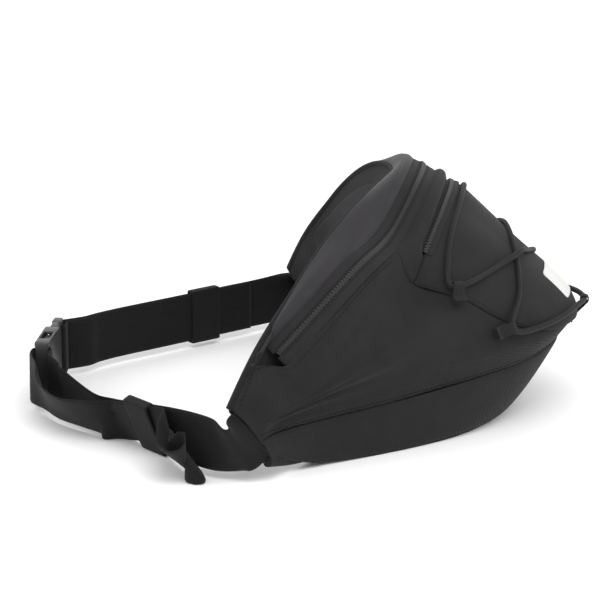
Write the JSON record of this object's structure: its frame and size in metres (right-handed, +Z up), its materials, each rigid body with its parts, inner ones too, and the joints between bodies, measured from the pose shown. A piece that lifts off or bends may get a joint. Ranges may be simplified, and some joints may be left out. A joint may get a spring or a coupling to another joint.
{
  "type": "waist pack",
  "caption": "Zipped waist pack with an arched top, a laced elastic cord over a front pocket and a webbing belt closed by a side-release buckle.",
  "frame": {"origin": "centre of the footprint of the pack and its belt, on the ground", "axes": "+Z up, front pocket towards -Y, belt and buckle towards +Y, bag length along X with the parked zip sliders at +X"},
  "size_m": [0.4092, 0.4036, 0.1801],
  "materials": {
    "oxford_cloth": "matte coarse weave",
    "twill_cloth": "fine diagonal weave",
    "yoke_cloth": "smooth coated weave",
    "spacer_mesh": "open knit over foam",
    "lining_cloth": "plain lining",
    "webbing": "ribbed webbing",
    "buckle_plastic": "satin moulded",
    "coil_plastic": "moulded coil",
    "slider_metal": "black enamel",
    "cord": "braided sheath",
    "patch_film": "plain light patch"
  },
  "bodies": {
    "pack": {"back_pad": "spacer_mesh", "back_panel": "lining_cloth", "bottom_panel": "oxford_cloth", "buckle_female": "buckle_plastic", "cord_tab_high_left": "webbing", "cord_tab_high_right": "webbing", "cord_tab_low_left": "webbing", "cord_tab_low_right": "webbing", "cord_tab_nose": "webbing", "elastic_cord": "cord", "front_coil": "coil_plastic", "front_panel": "twill_cloth", "front_tape_back": "twill_cloth", "front_tape_front": "twill_cloth", "gusset": "twill_cloth", "left_strap": "webbing", "left_tail": "webbing", "main_coil": "coil_plastic", "main_tape_back": "twill_cloth", "main_tape_front": "twill_cloth", "pocket_divider": "lining_cloth", "reflective_patch": "patch_film", "right_strap": "webbing", "right_tail": "webbing", "side_panel_left": "oxford_cloth", "side_panel_right": "oxford_cloth", "yoke": "yoke_cloth"},
    "inner_slider": {"inner_slider": "slider_metal"},
    "inner_pull": {"inner_pull_cord": "cord", "inner_pull_tip": "buckle_plastic"},
    "outer_slider": {"outer_slider": "slider_metal"},
    "outer_pull": {"outer_pull_cord": "cord", "outer_pull_tip": "buckle_plastic"},
    "pocket_slider": {"pocket_slider": "slider_metal"},
    "pocket_pull": {"pocket_pull_cord": "cord", "pocket_pull_tip": "buckle_plastic"},
    "clip_half": {"buckle_male": "buckle_plastic", "male_fold": "webbing"},
    "prong_low": {"prong_low": "buckle_plastic"},
    "prong_high": {"prong_high": "buckle_plastic"},
    "left_keeper": {"left_keeper": "webbing"},
    "right_keeper": {"right_keeper": "webbing"}
  },
  "joints": [
    {"name": "inner_zip_travel", "type": "hinge", "parent": "pack", "child": "inner_slider", "pos_m": [0, 0.03204, 0.05511], "axis": [0, 0.7323, 0.6809], "range_deg": [-134.5, 0]},
    {"name": "outer_zip_travel", "type": "hinge", "parent": "pack", "child": "outer_slider", "pos_m": [0, 0.03204, 0.05511], "axis": [0, 0.7323, 0.6809], "range_deg": [-6.5, 0]},
    {"name": "pocket_zip_travel", "type": "hinge", "parent": "pack", "child": "pocket_slider", "pos_m": [0, -0.05373, 0.0613], "axis": [0, 0.9119, 0.4104], "range_deg": [-79, 0]},
    {"name": "inner_pull_swing", "type": "hinge", "parent": "inner_slider", "child": "inner_pull", "pos_m": [0.14989, -0.02285, 0.11414], "axis": [0, 0.7323, 0.6809], "range_deg": [-130, 0]},
    {"name": "outer_pull_swing", "type": "hinge", "parent": "outer_slider", "child": "outer_pull", "pos_m": [0.16295, -0.00139, 0.09107], "axis": [0, 0.7323, 0.6809], "range_deg": [-50, 0]},
    {"name": "pocket_pull_swing", "type": "hinge", "parent": "pocket_slider", "child": "pocket_pull", "pos_m": [0.07636, -0.09146, 0.14515], "axis": [0, 0.9119, 0.4104], "range_deg": [-130, 0]},
    {"name": "buckle_release", "type": "slide", "parent": "pack", "child": "clip_half", "axis": [1, 0, 0], "range_m": [0, 0.042], "deforming": ["right_strap", "right_tail"]},
    {"name": "prong_low_press", "type": "hinge", "parent": "clip_half", "child": "prong_low", "pos_m": [0.0052, 0.1936, 0.0082], "axis": [0, 1, 0], "range_deg": [0, 8], "stiffness_Nm_per_rad": 0.6},
    {"name": "prong_high_press", "type": "hinge", "parent": "clip_half", "child": "prong_high", "pos_m": [0.0052, 0.1936, 0.0408], "axis": [0, -1, 0], "range_deg": [0, 8], "stiffness_Nm_per_rad": 0.6},
    {"name": "right_keeper_slide", "type": "slide", "parent": "pack", "child": "right_keeper", "axis": [-0.7033, 0.7109, 0], "range_m": [-0.03, 0.035]},
    {"name": "left_keeper_slide", "type": "slide", "parent": "pack", "child": "left_keeper", "axis": [0.7033, 0.7109, 0], "range_m": [-0.007, 0.009]}
  ]
}
